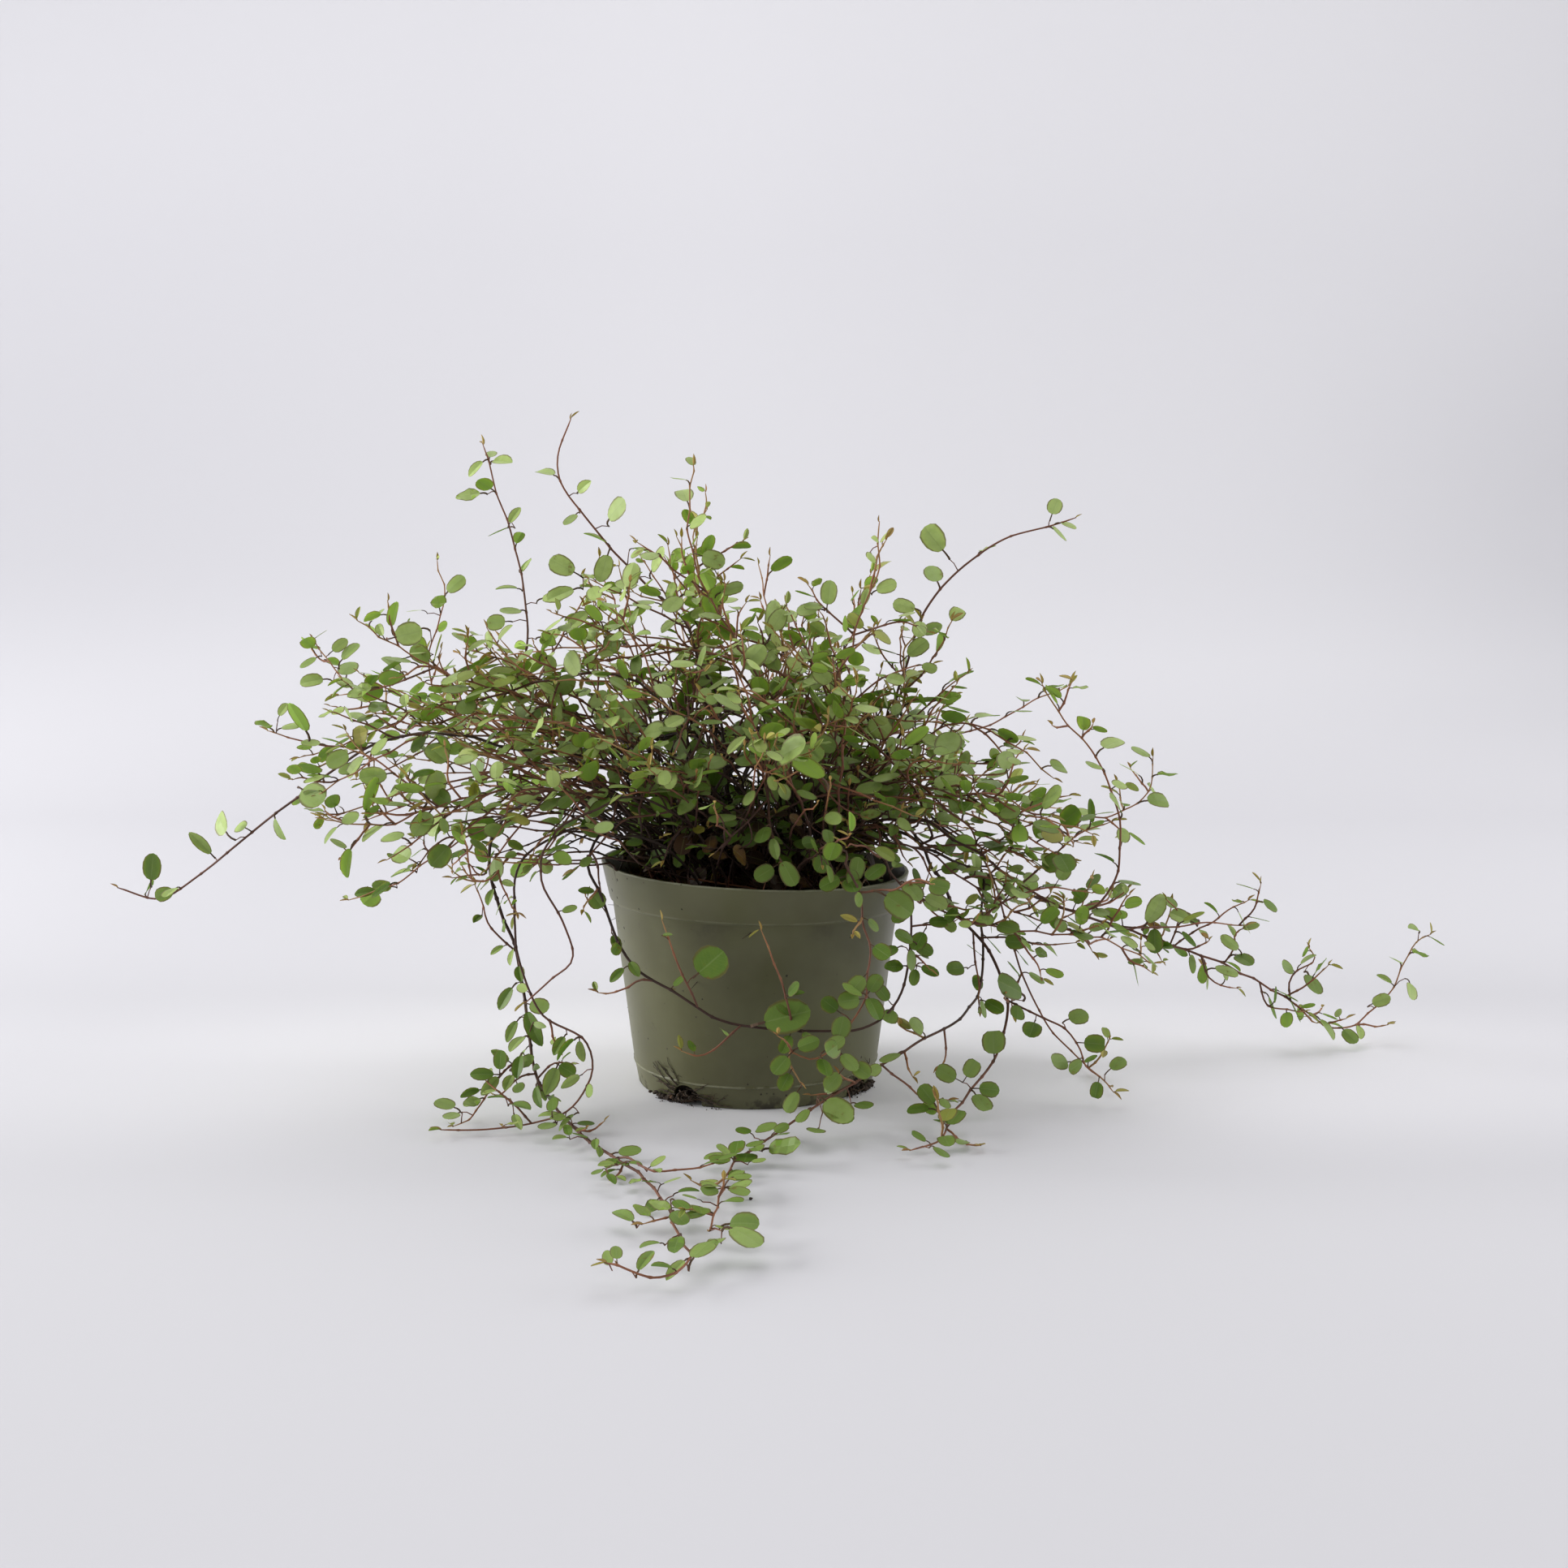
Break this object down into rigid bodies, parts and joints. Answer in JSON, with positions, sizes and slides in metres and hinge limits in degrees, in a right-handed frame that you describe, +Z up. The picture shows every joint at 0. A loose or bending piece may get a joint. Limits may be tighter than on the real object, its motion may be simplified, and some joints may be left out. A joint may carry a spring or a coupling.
{
  "type": "potted maidenhair vine",
  "caption": "Small nursery pot of peat with a spreading, trailing vine of wiry stems and small round leaves.",
  "frame": {"origin": "centre of the pot's base, on the surface the pot stands on", "axes": "+Z up; X along the plant's longest spread, its right trailing stem towards +X; -Y towards the front, where two stems lie on the surface"},
  "size_m": [0.554, 0.3918, 0.2635],
  "materials": {
    "pot_plastic": "matt sage green flexible plastic, scuffed and dusted with dry peat",
    "peat": "dark crumbly fibrous peat",
    "roots": "damp peat with fine brown roots",
    "shoots": "satin mid-green leaves on wiry red-brown to near-black stems"
  },
  "bodies": {
    "root": {"pot": "pot_plastic", "peat": "peat", "root_tuft_left": "roots", "root_tuft_right": "roots", "tall_shoot_left": "shoots", "tallest_shoot": "shoots", "tall_shoot_middle": "shoots", "red_shoot": "shoots", "tall_shoot_right": "shoots", "right_arching_shoot": "shoots", "crown_shoot_back_left": "shoots", "crown_shoot_back": "shoots", "crown_shoot_back_right": "shoots", "crown_shoot_front_left": "shoots", "crown_shoot_front": "shoots", "left_long_shoot": "shoots", "left_back_shoot": "shoots", "left_rising_shoot": "shoots", "left_tall_back_shoot": "shoots", "left_front_shoot": "shoots", "left_drooping_shoot": "shoots", "left_hanging_shoot": "shoots", "left_hanging_short_shoot": "shoots", "left_looping_shoot": "shoots", "front_loop_shoot": "shoots", "front_right_hanging_shoot": "shoots", "right_hanging_shoot": "shoots", "right_to_front_shoot": "shoots", "right_long_shoot": "shoots", "right_thin_shoot": "shoots", "right_curling_shoot": "shoots", "right_turning_up_shoot": "shoots", "right_back_shoot": "shoots", "right_rising_shoot": "shoots", "right_high_shoot": "shoots", "right_low_shoot": "shoots", "right_floor_shoot": "shoots", "back_hanging_shoot": "shoots", "back_right_shoot": "shoots", "back_left_shoot": "shoots", "back_far_right_shoot": "shoots", "back_rising_shoot": "shoots", "back_left_rising_shoot": "shoots", "back_right_rising_shoot": "shoots"}
  },
  "joints": []
}
